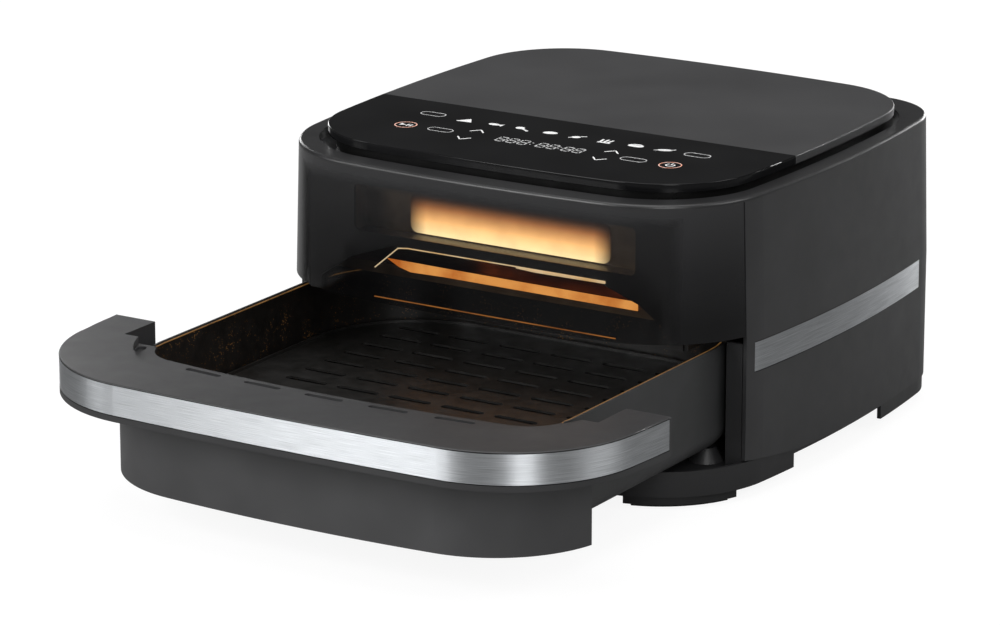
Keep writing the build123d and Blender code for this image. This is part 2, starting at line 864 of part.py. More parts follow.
# Grip ring: the proud hand hold that wraps the drawer's front and both corners
with BuildPart() as grip_ring:
    with BuildSketch(Plane.XY.offset(grip_bottom)):
        grip_outline()
        behind(grip_end)
    extrude(amount=grip_top - grip_bottom)
    fillet(grip_ring.faces().sort_by(Axis.Z)[-1].edges().sort_by(Axis.Y)[:-1], grip_edge)
    with BuildSketch(Plane.XY.offset(grip_bottom)):
        with Locations((0, bezel_end + far / 2)):
            Rectangle(2 * grip_inner, far)
    extrude(amount=far, mode=Mode.SUBTRACT)
    with BuildSketch(Plane.XY.offset(bezel_top - bezel_thickness)):
        panel_outline(bezel_inset)
    extrude(amount=far, mode=Mode.SUBTRACT)
    with BuildSketch(Plane.XY.offset(grip_bottom)):
        grip_outline(grip_wall)
        panel_outline(-grip_wall / 2, panel_proud, Mode.SUBTRACT)
        behind(grip_end - grip_wall)
    extrude(amount=grip_floor - grip_bottom, mode=Mode.SUBTRACT)
    with BuildSketch(Plane.XY.offset(grip_bottom)):
        panel_outline(panel_wall + grip_wall / 2, panel_proud)
        frame_outline(-grip_wall, Mode.SUBTRACT)
        behind(bezel_end - grip_wall)
    extrude(amount=grip_floor - grip_bottom, mode=Mode.SUBTRACT)
    with BuildSketch(Plane.XY.offset(grip_bottom)):
        frame_outline(-basin_gap)
        with Locations((0, bezel_end + far / 2)):
            Rectangle(2 * (frame_half_width + basin_gap), far)
    extrude(amount=far, mode=Mode.SUBTRACT)
    with BuildSketch(Plane.XY.offset(band_bottom)):
        grip_outline()
        grip_outline(band_depth, mode=Mode.SUBTRACT)
        behind(grip_end - band_end_margin)
    extrude(amount=band_height, mode=Mode.SUBTRACT)
save(grip_ring.part, "grip_ring")

with BuildPart() as grip_band:
    with BuildSketch(Plane.XY.offset(band_bottom + band_fit)):
        grip_outline(band_fit)
        grip_outline(band_depth - band_fit, mode=Mode.SUBTRACT)
        behind(grip_end - band_end_margin - band_fit)
    extrude(amount=band_height - 2 * band_fit)
save(grip_band.part, "grip_band")

# Slotted bezel around the drawer's mouth
with BuildPart() as drawer_bezel:
    with BuildSketch(Plane.XY.offset(bezel_top - bezel_thickness)):
        panel_outline(bezel_inset + basin_gap)
        frame_outline(frame_wall + basin_gap + basin_wall, Mode.SUBTRACT)
        behind(bezel_end)
        bezel_slots()
    extrude(amount=bezel_thickness)
save(drawer_bezel.part, "drawer_bezel")

# Lower drawer panel, flush with the casing's sides when the drawer is shut
with BuildPart() as lower_panel:
    with BuildSketch(Plane.XY.offset(panel_bottom)):
        panel_outline(0, panel_proud)
        panel_outline(panel_wall, panel_proud, Mode.SUBTRACT)
        behind(seam_y - seam_gap - drawer_open)
    extrude(amount=grip_bottom - panel_bottom)
save(lower_panel.part, "lower_panel")

# Runners under the drawer and the channels on the base that they slide in
runner_bottom = frame_bottom - runner_height
floor_top = base_floor + base_floor_thickness
for side, end in ((-1, "left"), (1, "right")):
    with BuildPart() as runner:
        with BuildSketch(Plane.XY.offset(runner_bottom)):
            with Locations((side * runner_x, (runner_front + runner_rear) / 2)):
                SlotOverall(runner_rear - runner_front, runner_width, rotation=90)
        extrude(amount=runner_height)
    save(runner.part, f"drawer_runner_{end}")
    with BuildPart() as rail:
        with BuildSketch(Plane.XZ.offset(-rail_front)):
            with Locations((side * runner_x, floor_top)):
                Rectangle(
                    runner_width + 2 * rail_wall,
                    runner_bottom + rail_lip - floor_top,
                    align=(Align.CENTER, Align.MIN),
                )
            with Locations((side * runner_x, runner_bottom - rail_gap)):
                Rectangle(
                    runner_width + 2 * rail_gap,
                    far,
                    align=(Align.CENTER, Align.MIN),
                    mode=Mode.SUBTRACT,
                )
        extrude(amount=-(rail_rear - rail_front))
    save(rail.part, f"drawer_rail_{end}")

# Jambs that close the space between the shell and the drawer
with BuildPart() as drawer_jambs:
    with BuildSketch(Plane.XY.offset(floor_top)):
        body_outline(base_inset + base_wall)
        with Locations((0, seam_y + 1 - far / 2), (0, seam_y + 1 + jamb_depth + far / 2)):
            Rectangle(far, far, mode=Mode.SUBTRACT)
        Rectangle(2 * (frame_half_width + jamb_gap), far, mode=Mode.SUBTRACT)
    extrude(amount=chamber_bottom - floor_top)
save(drawer_jambs.part, "drawer_jambs")

# Tapered guides that steer the drawer in over the base
with BuildPart() as drawer_guides:
    with Locations((-guide_x, guide_y, floor_top), (guide_x, guide_y, floor_top)):
        Cone(guide_radius, guide_top_radius, guide_height, align=(Align.CENTER, Align.CENTER, Align.MIN))
save(drawer_guides.part, "drawer_guides")

# Crisper plate on four legs
plate_inset = basin_inset + basin_wall + plate_gap
with BuildPart() as crisper_plate:
    with BuildSketch(Plane.XY.offset(plate_z)):
        frame_outline(plate_inset)
    extrude(amount=plate_thickness)
    with BuildSketch(Plane.XY.offset(plate_z + plate_thickness)):
        frame_outline(plate_inset)
        frame_outline(plate_inset + plate_lip, mode=Mode.SUBTRACT)
    extrude(amount=plate_lip)
    with BuildSketch(Plane.XY.offset(plate_z)):
        with Locations((0, frame_front + frame_length / 2)):
            with GridLocations(slot_length + slot_bridge, slot_row, slot_columns, slot_rows):
                SlotOverall(slot_length, slot_width)
    extrude(amount=plate_thickness, mode=Mode.SUBTRACT)
    with BuildSketch(Plane.XY.offset(plate_leg_bottom)):
        with Locations((0, frame_front + frame_length / 2)):
            with GridLocations(leg_x, leg_y, 2, 2):
                Circle(5)
    extrude(amount=plate_z - plate_leg_bottom)
save(crisper_plate.part, "crisper_plate")

with BuildPart() as plate_feet:
    with BuildSketch(Plane.XY.offset(basin_bottom + basin_wall + plate_rest)):
        with Locations((0, frame_front + frame_length / 2)):
            with GridLocations(leg_x, leg_y, 2, 2):
                Circle(6)
    extrude(amount=plate_leg_bottom - basin_bottom - basin_wall - plate_rest)
save(plate_feet.part, "plate_feet")

# Screws under the base
with BuildPart() as base_screws:
    with BuildSketch(Plane.XY.offset(base_floor - 1.6)):
        with Locations((0, body_centre_y)):
            with GridLocations(screw_spread_x, screw_spread_y, 2, 2):
                Circle(3.6)
    extrude(amount=1.6)
save(base_screws.part, "base_screws")
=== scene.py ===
import bpy
import bmesh
import math
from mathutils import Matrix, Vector


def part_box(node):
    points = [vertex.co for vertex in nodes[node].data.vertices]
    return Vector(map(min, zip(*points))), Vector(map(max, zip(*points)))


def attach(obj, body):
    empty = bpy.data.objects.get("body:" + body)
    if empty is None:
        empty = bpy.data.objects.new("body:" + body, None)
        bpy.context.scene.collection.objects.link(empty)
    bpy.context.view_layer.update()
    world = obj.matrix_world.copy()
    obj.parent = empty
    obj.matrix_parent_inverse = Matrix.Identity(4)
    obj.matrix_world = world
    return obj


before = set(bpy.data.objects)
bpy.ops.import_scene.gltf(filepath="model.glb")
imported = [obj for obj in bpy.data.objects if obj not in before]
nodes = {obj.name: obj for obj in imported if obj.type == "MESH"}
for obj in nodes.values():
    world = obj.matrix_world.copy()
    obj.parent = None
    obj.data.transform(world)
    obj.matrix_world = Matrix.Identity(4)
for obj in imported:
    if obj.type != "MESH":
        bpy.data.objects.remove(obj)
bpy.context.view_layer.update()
millimetre = 0.001
print("frame loaded:", len(nodes), "nodes")


def linearColor(hexText, alpha=1.0):
    values = [int(hexText[i:i + 2], 16) / 255 for i in (1, 3, 5)]
    linear = [v / 12.92 if v <= 0.04045 else ((v + 0.055) / 1.055) ** 2.4 for v in values]
    return (*linear, alpha)


def addNode(tree, kind, inputs=None, **settings):
    node = tree.nodes.new("ShaderNode" + kind)
    for key, value in settings.items():
        setattr(node, key, value)
    for socket, value in (inputs or {}).items():
        if isinstance(value, bpy.types.NodeSocket):
            tree.links.new(value, node.inputs[socket])
        else:
            node.inputs[socket].default_value = value
    return node


def newMaterial(name, color, roughness, metallic=0.0, specular=0.5):
    material = bpy.data.materials.new(name)
    material.use_nodes = True
    tree = material.node_tree
    shader = tree.nodes["Principled BSDF"]
    shader.inputs["Base Color"].default_value = linearColor(color)
    shader.inputs["Roughness"].default_value = roughness
    shader.inputs["Metallic"].default_value = metallic
    shader.inputs["Specular IOR Level"].default_value = specular
    return material, tree, shader


def objectPoint(tree, scale=(1, 1, 1)):
    place = addNode(tree, "TexCoord")
    return addNode(tree, "Mapping", {0: place.outputs["Object"], 3: scale}).outputs[0]


def metres(*values):
    return tuple(value * millimetre for value in values)


def perMillimetre(size):
    return 1 / (size * millimetre)


def noise(tree, size, detail=3.0, stretch=(1, 1, 1)):
    point = objectPoint(tree, stretch)
    inputs = {"Vector": point, "Scale": perMillimetre(size), "Detail": detail}
    return addNode(tree, "TexNoise", inputs).outputs["Fac"]


def ramp(tree, factor, stops):
    node = addNode(tree, "ValToRGB", {0: factor})
    elements = node.color_ramp.elements
    while len(elements) < len(stops):
        elements.new(0.5)
    for element, (place, color) in zip(elements, stops):
        element.position = place
        element.color = linearColor(color) if isinstance(color, str) else (color, color, color, 1)
    return node.outputs[0]


def shade(tree, shader, socket, factor, stops):
    tree.links.new(ramp(tree, factor, stops), shader.inputs[socket])


def calculate(tree, operation, *values):
    return addNode(tree, "Math", dict(enumerate(values)), operation=operation).outputs[0]


def spread(tree, value, source=(0.0, 1.0), target=(0.0, 1.0)):
    return addNode(tree, "MapRange", dict(enumerate((value, *source, *target)))).outputs[0]


def bump(tree, shader, height, depth, strength=1.0):
    inputs = {"Height": height, "Distance": depth * millimetre, "Strength": strength}
    node = addNode(tree, "Bump", inputs)
    tree.links.new(node.outputs[0], shader.inputs["Normal"])


# Moulded plastic: the satin of a fine spark-eroded texture, a little uneven in tone and gloss
def mouldedPlastic(name, color, lightColor, roughness, grain=0.45, depth=0.02, specular=0.5):
    material, tree, shader = newMaterial(name, color, roughness, 0.0, specular)
    cloud = noise(tree, 55, 2.0)
    shade(tree, shader, "Base Color", cloud, [(0.35, color), (0.7, lightColor)])
    wear = noise(tree, 18, 4.0)
    gloss = ramp(tree, wear, [(0.3, roughness - 0.03), (0.75, roughness + 0.05)])
    tree.links.new(gloss, shader.inputs["Roughness"])
    bump(tree, shader, noise(tree, grain, 2.0), depth, 0.5)
    return material


# Brushed stainless steel: hairlines along the band's length, with a painted shadow along its top and
# bottom edges where the band meets the plastic
def brushedBand(name, color, roughness, low, high, gap=0.5):
    material, tree, shader = newMaterial(name, color, roughness, 1.0)
    shader.inputs["Anisotropic"].default_value = 0.92
    shader.inputs["Anisotropic Rotation"].default_value = 0.25
    lines = noise(tree, 9, 5.0, (0.35, 0.35, 60))
    fine = noise(tree, 3, 3.0, (0.15, 0.15, 45))
    tint = ramp(tree, lines, [(0.3, "#A3A6A9"), (0.52, "#C6C9CC"), (0.75, "#E4E6E8")])
    # painted shadow: near-black base colour in a thin strip along the band's top and bottom edges
    place = addNode(tree, "SeparateXYZ", {0: objectPoint(tree)}).outputs[2]
    above = calculate(tree, "GREATER_THAN", place, (low + gap) * millimetre)
    below = calculate(tree, "LESS_THAN", place, (high - gap) * millimetre)
    clearOfEdgeShadow = calculate(tree, "MULTIPLY", above, below)
    mixed = addNode(tree, "MixRGB", {0: clearOfEdgeShadow, 1: linearColor("#060606"), 2: tint}).outputs[0]
    tree.links.new(mixed, shader.inputs["Base Color"])
    gloss = ramp(tree, fine, [(0.3, roughness - 0.05), (0.7, roughness + 0.07)])
    tree.links.new(gloss, shader.inputs["Roughness"])
    bump(tree, shader, fine, 0.02, 0.35)
    return material


# Sheet metal inside the oven: plain mill finish, faint rolling lines and heat-dulled patches
def sheetMetal(name, color, darkColor, roughness):
    material, tree, shader = newMaterial(name, color, roughness, 1.0)
    patches = noise(tree, 30, 4.0)
    shade(tree, shader, "Base Color", patches, [(0.3, darkColor), (0.65, color)])
    rolled = noise(tree, 4, 3.0, (0.1, 8, 8))
    shade(tree, shader, "Roughness", rolled, [(0.3, roughness - 0.08), (0.7, roughness + 0.1)])
    bump(tree, shader, rolled, 0.03, 0.3)
    return material


# Enamelled sheet: deep black with a soft orange-peel skin
def enamel(name, color, roughness):
    material, tree, shader = newMaterial(name, color, roughness)
    skin = noise(tree, 2.2, 2.0)
    bump(tree, shader, skin, 0.06, 0.5)
    shade(tree, shader, "Roughness", skin, [(0.3, roughness - 0.05), (0.7, roughness + 0.08)])
    shade(tree, shader, "Base Color", noise(tree, 40, 3.0), [(0.3, color), (0.8, "#232221")])
    return material


# Sprayed non-stick coat: near black, with the fine bronze specks of a stone-effect finish
def nonstickCoat(name, baseColor, lightColor, speckColor, amount):
    material, tree, shader = newMaterial(name, baseColor, 0.38)
    cells = addNode(tree, "TexVoronoi", {"Vector": objectPoint(tree), "Scale": perMillimetre(1.7)})
    patch = noise(tree, 16, 4.0)
    reach = ramp(tree, patch, [(0.38, 0.0), (0.72, amount)])
    speck = calculate(tree, "LESS_THAN", cells.outputs["Distance"], reach)
    ground = ramp(tree, noise(tree, 7, 4.0), [(0.3, baseColor), (0.75, lightColor)])
    color = addNode(tree, "MixRGB", {0: speck, 1: ground, 2: linearColor(speckColor)}).outputs[0]
    tree.links.new(color, shader.inputs["Base Color"])
    shade(tree, shader, "Roughness", patch, [(0.3, 0.3), (0.75, 0.48)])
    bump(tree, shader, noise(tree, 0.9, 2.0), 0.04, 0.5)
    return material


# Silicone rubber: dull, dusty black
def rubberSkin(name, color):
    material, tree, shader = newMaterial(name, color, 0.8)
    dust = noise(tree, 6, 4.0)
    shade(tree, shader, "Base Color", dust, [(0.35, color), (0.8, "#2A2A29")])
    bump(tree, shader, noise(tree, 0.8, 2.0), 0.05, 0.6)
    return material


# Circuit board: green solder mask over faint copper tracks
def boardMask(name):
    material, tree, shader = newMaterial(name, "#12442A", 0.35)
    tracks = addNode(tree, "TexBrick", {"Vector": objectPoint(tree), "Scale": perMillimetre(9)})
    tracks.inputs["Color1"].default_value = linearColor("#12442A")
    tracks.inputs["Color2"].default_value = linearColor("#0F3A24")
    tracks.inputs["Mortar"].default_value = linearColor("#3B6A3A")
    tree.links.new(tracks.outputs[0], shader.inputs["Base Color"])
    bump(tree, shader, tracks.outputs["Fac"], 0.04, 0.4)
    return material


# Toughened touch glass, printed black behind: a hard clean gloss, very slightly wavy
def touchGlass(name):
    material, tree, shader = newMaterial(name, "#0D0D0E", 0.1, 0.0, 0.16)
    wave = noise(tree, 60, 1.0)
    shade(tree, shader, "Roughness", wave, [(0.3, 0.08), (0.7, 0.14)])
    shade(tree, shader, "Base Color", wave, [(0.3, "#0B0B0C"), (0.7, "#131314")])
    return material


# Powder coat on the lid: soft sheen broken by a very fine grain
def powderCoat(name, color, lightColor):
    material, tree, shader = newMaterial(name, color, 0.5, 0.0, 0.35)
    shade(tree, shader, "Base Color", noise(tree, 90, 2.0), [(0.3, color), (0.7, lightColor)])
    grain = noise(tree, 0.5, 2.0)
    shade(tree, shader, "Roughness", grain, [(0.3, 0.44), (0.7, 0.54)])
    bump(tree, shader, grain, 0.02, 0.5)
    return material


# Smoked window glass: clear enough in the middle for the lit chamber, printed dark round its edge, and
# lighter towards the top as a painted reflection
window = {
    "clearHalfWidth": 147,
    "clearTop": 199,
    "fade": 9,
    "clearAlpha": 0.36,
    "printAlpha": 1.0,
    "paintedReflectionLow": 130,
    "paintedReflectionHigh": 212,
}


def smokedGlass(name):
    material, tree, shader = newMaterial(name, "#0B0B0C", 0.09, 0.0, 0.28)
    place = addNode(tree, "SeparateXYZ", {0: objectPoint(tree)})
    across = calculate(tree, "ABSOLUTE", place.outputs[0])
    fade = window["fade"]
    side = spread(tree, across, metres(window["clearHalfWidth"], window["clearHalfWidth"] + fade))
    top = spread(tree, place.outputs[2], metres(window["clearTop"], window["clearTop"] + fade))
    edge = calculate(tree, "MAXIMUM", side, top)
    alpha = spread(tree, edge, target=(window["clearAlpha"], window["printAlpha"]))
    tree.links.new(alpha, shader.inputs["Alpha"])
    # painted reflection: the base colour grows lighter towards the top of the window
    height = spread(tree, place.outputs[2], metres(window["paintedReflectionLow"], window["paintedReflectionHigh"]))
    tint = [(0.0, "#0A0A0B"), (0.45, "#1C1C1D"), (1.0, "#2F2F30")]
    shade(tree, shader, "Base Color", height, tint)
    wave = noise(tree, 70, 1.0)
    shade(tree, shader, "Roughness", wave, [(0.3, 0.07), (0.7, 0.12)])
    return material


lensGlow = {"strength": 3.0, "endStart": 0.84, "endLevel": 0.1, "mottle": 14}


# Frosted lamp lens: warm light, strongest low down and fading towards the top and the ends
def glowingLens(name, lowZ, highZ, halfWidth):
    material, tree, shader = newMaterial(name, "#2A1A0C", 0.4)
    place = addNode(tree, "SeparateXYZ", {0: objectPoint(tree)})
    rise = spread(tree, place.outputs[2], (lowZ, highZ))
    warmStops = [(0.0, "#FFE2A6"), (0.35, "#FFC27A"), (0.7, "#C9814A"), (1.0, "#5A3720")]
    warm = ramp(tree, rise, warmStops)
    power = ramp(tree, rise, [(0.0, 1.0), (0.3, 0.95), (0.62, 0.6), (0.88, 0.12), (1.0, 0.04)])
    across = calculate(tree, "ABSOLUTE", place.outputs[0])
    reach = (halfWidth * lensGlow["endStart"], halfWidth)
    ends = spread(tree, across, reach, (1.0, lensGlow["endLevel"]))
    mottled = ramp(tree, noise(tree, lensGlow["mottle"], 3.0), [(0.3, 0.85), (0.7, 1.0)])
    first = calculate(tree, "MULTIPLY", power, ends)
    second = calculate(tree, "MULTIPLY", first, mottled)
    total = calculate(tree, "MULTIPLY", second, lensGlow["strength"])
    tree.links.new(warm, shader.inputs["Emission Color"])
    tree.links.new(total, shader.inputs["Emission Strength"])
    return material


# Hot metal and lamp tubes, and painted light on edges lit by the chamber's glow: a dull skin that glows
# unevenly
def glowingMetal(name, color, darkColor, strength, size=8):
    material, tree, shader = newMaterial(name, darkColor, 0.5)
    patch = noise(tree, size, 4.0)
    shade(tree, shader, "Emission Color", patch, [(0.3, darkColor), (0.6, color)])
    shader.inputs["Emission Strength"].default_value = strength
    bump(tree, shader, patch, 0.05, 0.4)
    return material


# Screen print on the glass: pale ink with a faint backlight
def screenInk(name, color, strength):
    material, tree, shader = newMaterial(name, color, 0.5)
    speckle = noise(tree, 1.2, 2.0)
    shade(tree, shader, "Base Color", speckle, [(0.2, color), (0.9, "#FFFFFF")])
    shader.inputs["Emission Color"].default_value = linearColor(color)
    shader.inputs["Emission Strength"].default_value = strength
    return material


def paint(material, *names):
    for name in names:
        mesh = nodes[name].data
        mesh.materials.clear()
        mesh.materials.append(material)


bandSteel = brushedBand("brushedStainlessBand", "#C6C9CC", 0.42, 91.1, 112.9)
casingPlastic = mouldedPlastic("satinAbsCasing", "#282829", "#2E2E2F", 0.44)
paint(casingPlastic, "outer_shell", "drawer_jambs", "drawer_guides")
paint(mouldedPlastic("satinAbsBase", "#1E1E1F", "#232324", 0.45), "base_tray")
paint(mouldedPlastic("satinGripPlastic", "#2B2B2C", "#313132", 0.46), "grip_ring", "drawer_bezel")
paint(mouldedPlastic("satinPanelPlastic", "#3B3B3C", "#434344", 0.42), "lower_panel")
paint(mouldedPlastic("satinFramePlastic", "#292A2A", "#2F2F30", 0.45), "drawer_frame")
paint(mouldedPlastic("satinCoverPlastic", "#202021", "#262627", 0.33), "top_cover")
paint(mouldedPlastic("blackPlinthPlastic", "#0C0C0C", "#121212", 0.3), "lid_carrier")
paint(mouldedPlastic("blackFanPlastic", "#161616", "#1C1C1C", 0.5), "cooling_fan")
paint(powderCoat("lidPowderCoat", "#333334", "#3C3C3D"), "top_panel")
paint(touchGlass("touchGlass"), "control_glass")
paint(smokedGlass("smokedWindowGlass"), "window_glass")
paint(bandSteel, "side_band_left", "side_band_right", "grip_band")
paint(enamel("chamberEnamel", "#141313", 0.34), "chamber_front_wall", "chamber_liner")
paint(sheetMetal("lampTraySteel", "#8E7B66", "#5A4A3B", 0.4), "lamp_housing", "fan_guard")
zincSteel = sheetMetal("zincSteel", "#A6A6A4", "#83837F", 0.35)
paint(zincSteel, "fan_motor", "motor_bracket", "fan_shaft", "base_screws")
paint(sheetMetal("fanAluminium", "#B5B5B3", "#8D8C88", 0.38), "hot_air_fan")
nylonSlide = mouldedPlastic("nylonSlide", "#1B1B1B", "#222222", 0.4)
paint(nylonSlide, "drawer_runner_left", "drawer_runner_right")
nylonRail = mouldedPlastic("nylonRail", "#181818", "#1E1E1E", 0.4)
paint(nylonRail, "drawer_rail_left", "drawer_rail_right")
paint(nonstickCoat("nonstickBasin", "#100F0E", "#1B1917", "#8A6235", 0.3), "basin")
paint(nonstickCoat("nonstickPlate", "#161615", "#232221", "#3A3128", 0.1), "crisper_plate")
paint(rubberSkin("siliconeRubber", "#131313"), "rubber_feet", "plate_feet", "cord_gland")
paint(boardMask("solderMask"), "control_board", "power_board")
paint(glowingMetal("heaterSheath", "#FF7A2E", "#5A200A", 1.3), "heating_element")
lensLow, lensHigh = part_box("lamp_lens")
paint(glowingLens("frostedLampLens", lensLow[2], lensHigh[2], lensHigh[0]), "lamp_lens")
paint(glowingMetal("lampTube", "#FFD9A0", "#C98A4A", 1.5), "lamp_bulb")
print("materials set")


def finishPiece(obj, material, body):
    obj.data.materials.append(material)
    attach(obj, body)
    return obj


def meshObject(name, mesh):
    obj = bpy.data.objects.new(name, mesh)
    bpy.context.scene.collection.objects.link(obj)
    return obj


def bmeshObject(name, shape):
    bmesh.ops.recalc_face_normals(shape, faces=shape.faces)
    mesh = bpy.data.meshes.new(name)
    shape.to_mesh(mesh)
    shape.free()
    return meshObject(name, mesh)


def bridge(shape, first, second):
    for i in range(len(first)):
        j = (i + 1) % len(first)
        shape.faces.new((first[i], first[j], second[j], second[i]))


def addPrism(shape, points, low, high):
    bottom = [shape.verts.new(metres(x, y, low)) for x, y in points]
    top = [shape.verts.new(metres(x, y, high)) for x, y in points]
    shape.faces.new(bottom[::-1])
    shape.faces.new(top)
    bridge(shape, bottom, top)


def addRing(shape, outer, inner, low, high):
    rows = []
    for points, level in ((outer, low), (outer, high), (inner, high), (inner, low)):
        rows.append([shape.verts.new(metres(x, y, level)) for x, y in points])
    for first, second in zip(rows, rows[1:] + rows[:1]):
        bridge(shape, first, second)


def stadium(centre, length, height, steps=10):
    x, y = centre
    radius = height / 2
    points = []
    for side, start in ((1, -90), (-1, 90)):
        for i in range(steps + 1):
            turn = math.radians(start + 180 * i / steps)
            endX = x + side * (length / 2 - radius)
            points.append((endX + radius * math.cos(turn), y + radius * math.sin(turn)))
    return points


def tube(name, points, radius, material, body, closed=False):
    data = bpy.data.curves.new(name, "CURVE")
    data.dimensions = "3D"
    data.bevel_depth = radius * millimetre
    data.bevel_resolution = 2
    data.use_fill_caps = True
    spline = data.splines.new("POLY")
    spline.points.add(len(points) - 1)
    for slot, (x, y, z) in zip(spline.points, points):
        slot.co = (*metres(x, y, z), 1)
    spline.use_cyclic_u = closed
    return finishPiece(meshObject(name, data), material, body)


# Printed marks on the touch glass
lidTop = 225
panel = {
    "inkLow": lidTop - 0.03,
    "inkHigh": lidTop + 0.05,
    "line": 0.75,
    "buttons": [(-106.1, 16.5), (110.9, 16.5)],
    "buttonSize": 16.5,
    "pills": [(-106.4, 53.2), (-77.2, 17.0), (113.3, 50), (81.6, 16.4)],
    "pillLength": 20.5,
    "pillHeight": 9.5,
    "iconX": -76.5,
    "iconY": 50.4,
    "iconPitch": 23.35,
    "upArrows": [(-52, 28.2), (58.9, 27.6)],
    "downArrows": [(-51.4, 4.8), (59.6, 4.8)],
    "arrowReach": 5.5,
    "arrowRise": 3.2,
    "arrowLine": 1.1,
    "digitY": 17,
    "digitHeight": 11,
    "digitWidth": 6.2,
    "digitLine": 1.0,
    "digitGap": 0.7,
    "digitsX": [-29, -20, -11, 4, 13, 25, 34],
    "colons": [(-1.4, 14.8), (-1.4, 19.2), (21.6, 14.8), (21.6, 19.2)],
    "colonSize": 1.3,
}


symbol = {
    "playBack": -4.5,
    "playReach": 2.6,
    "pauseX": (1.6, 4.2),
    "pauseLine": 1.2,
    "powerRadius": 3.6,
    "powerInner": 0.72,
    "powerAngles": range(125, 416, 15),
    "powerBar": (0, 1, 0, 4.6, 1.1),
}


def shifted(points, centre):
    return [(x + centre[0], y + centre[1]) for x, y in points]


def oval(width, height, tilt=0, steps=18):
    turn = math.radians(tilt)
    points = []
    for i in range(steps):
        angle = 2 * math.pi * i / steps
        x, y = width / 2 * math.cos(angle), height / 2 * math.sin(angle)
        turnedX = x * math.cos(turn) - y * math.sin(turn)
        turnedY = x * math.sin(turn) + y * math.cos(turn)
        points.append((turnedX, turnedY))
    return points


def bar(x0, y0, x1, y1, width):
    along = Vector((x1 - x0, y1 - y0)).normalized() * width / 2
    side = Vector((-along.y, along.x))
    lower = [(x0 - side.x, y0 - side.y), (x1 - side.x, y1 - side.y)]
    upper = [(x1 + side.x, y1 + side.y), (x0 + side.x, y0 + side.y)]
    return lower + upper


# Plain food signs: slice, fish, leg, steak, prawn, chips, loaf and leaf
foodSigns = [
    [[(-5, -3.5), (5.5, -2.5), (1.5, 4.2)], bar(-5.5, -4.4, 6, -3.4, 1.4)],
    [oval(9, 5), [(3.5, 0), (7, 3), (7, -3)]],
    [shifted(oval(7, 6), (-2, 0.8)), bar(1, -1, 6, -4, 1.4), shifted(oval(2.4, 2.4), (6.3, -4.2))],
    [oval(11, 6.5, 12)],
    [shifted(oval(7, 5, 30), (-1.5, -1)), bar(1, 2, 4.5, 4, 1.2), bar(-4, -3, -6, -4.4, 1.2)],
    [
        bar(-4, -3.5, -5, 4, 1.7),
        bar(-1, -3.5, -1, 4.6, 1.7),
        bar(2, -3.5, 3, 4, 1.7),
        bar(-5.5, -4, 4.5, -4, 2),
    ],
    [stadium((0, 0), 12, 6), shifted(oval(8, 4), (0, 2.4))],
    [oval(11, 5, 20), bar(-7, -3.4, 5, 1.4, 0.8), bar(4, 2, 6.5, 4.6, 1)],
]

# The seven bars of a digit, in widths across and half heights up
segments = [
    (0, 2, 1, 2),
    (0, 1, 1, 1),
    (0, 0, 1, 0),
    (0, 1, 0, 2),
    (1, 1, 1, 2),
    (0, 0, 0, 1),
    (1, 0, 1, 1),
]


def chevron(centre, direction):
    reach, rise = panel["arrowReach"], panel["arrowRise"] * direction
    line = panel["arrowLine"]
    left = bar(centre[0] - reach, centre[1] - rise, centre[0], centre[1] + rise, line)
    right = bar(centre[0], centre[1] + rise, centre[0] + reach, centre[1] - rise, line)
    return [left, right]


